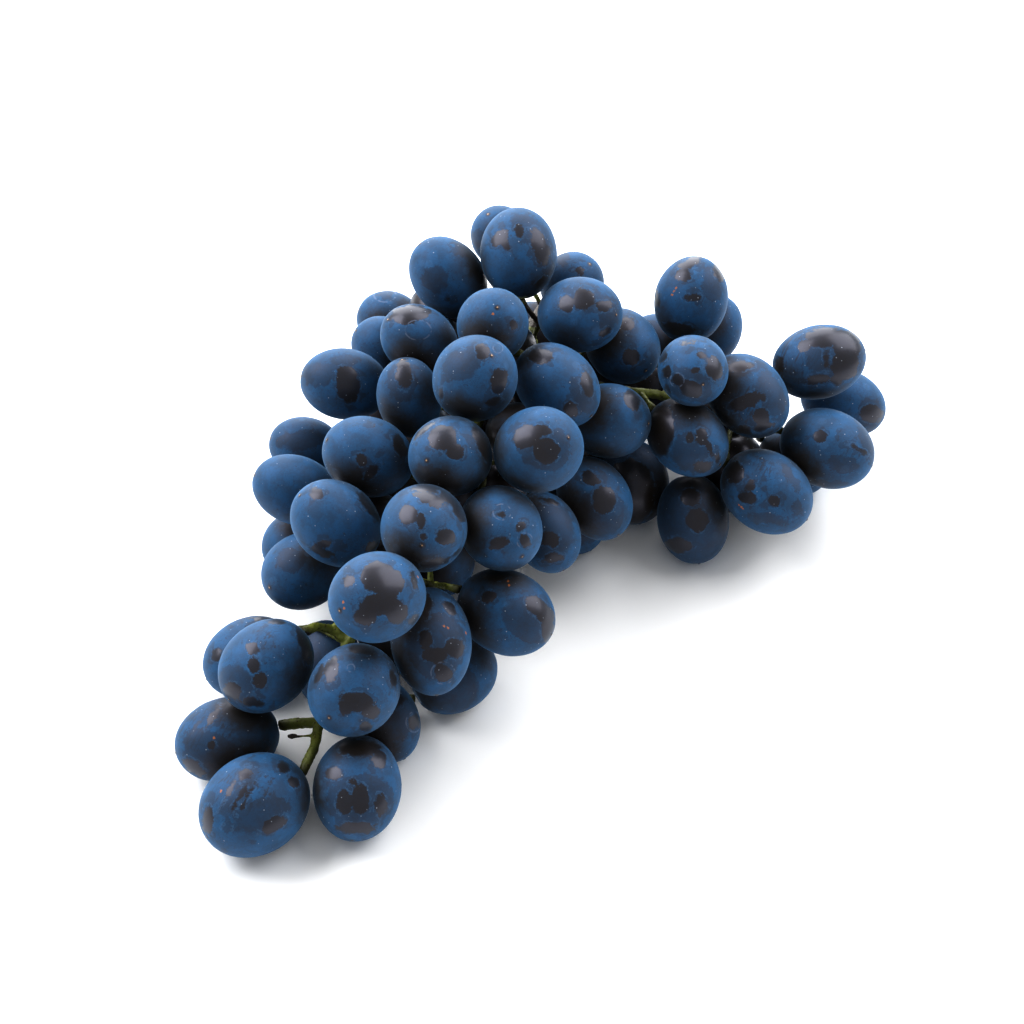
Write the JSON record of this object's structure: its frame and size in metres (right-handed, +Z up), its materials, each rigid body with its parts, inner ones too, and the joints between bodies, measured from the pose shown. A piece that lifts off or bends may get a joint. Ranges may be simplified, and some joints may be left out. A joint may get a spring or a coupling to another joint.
{
  "type": "bunch of grapes",
  "caption": "Bunch of dark blue oval table grapes with a waxy bloom on a branched green stem, lying on its side.",
  "frame": {"origin": "on the surface that the bunch lies on, under the middle of its box", "axes": "+Z up from the surface, +Y from the tail towards the cut stalk, +X towards the side wing"},
  "size_m": [0.1874, 0.2088, 0.0779],
  "materials": {
    "skin": "grape skin, near black with a pale blue waxy bloom",
    "stem": "green grape stem with brown flecks"
  },
  "bodies": {
    "root": {"berries_under_1": "skin", "berries_under_2": "skin", "berries_under_3": "skin", "berries_under_4": "skin", "berries_under_5": "skin", "berry_01": "skin", "berry_02": "skin", "berry_03": "skin", "berry_04": "skin", "berry_05": "skin", "berry_06": "skin", "berry_07": "skin", "berry_08": "skin", "berry_09": "skin", "berry_10": "skin", "berry_11": "skin", "berry_12": "skin", "berry_13": "skin", "berry_14": "skin", "berry_15": "skin", "berry_16": "skin", "berry_17": "skin", "berry_18": "skin", "berry_19": "skin", "berry_20": "skin", "berry_21": "skin", "berry_22": "skin", "berry_23": "skin", "berry_24": "skin", "berry_25": "skin", "berry_26": "skin", "berry_27": "skin", "berry_28": "skin", "berry_29": "skin", "berry_30": "skin", "berry_31": "skin", "berry_32": "skin", "berry_33": "skin", "berry_34": "skin", "berry_35": "skin", "berry_36": "skin", "berry_37": "skin", "berry_38": "skin", "berry_39": "skin", "berry_40": "skin", "berry_41": "skin", "berry_42": "skin", "berry_43": "skin", "berry_44": "skin", "berry_45": "skin", "berry_46": "skin", "berry_47": "skin", "berry_48": "skin", "berry_49": "skin", "berry_50": "skin", "berry_51": "skin", "berry_52": "skin", "berry_53": "skin", "stem": "stem"}
  },
  "joints": []
}
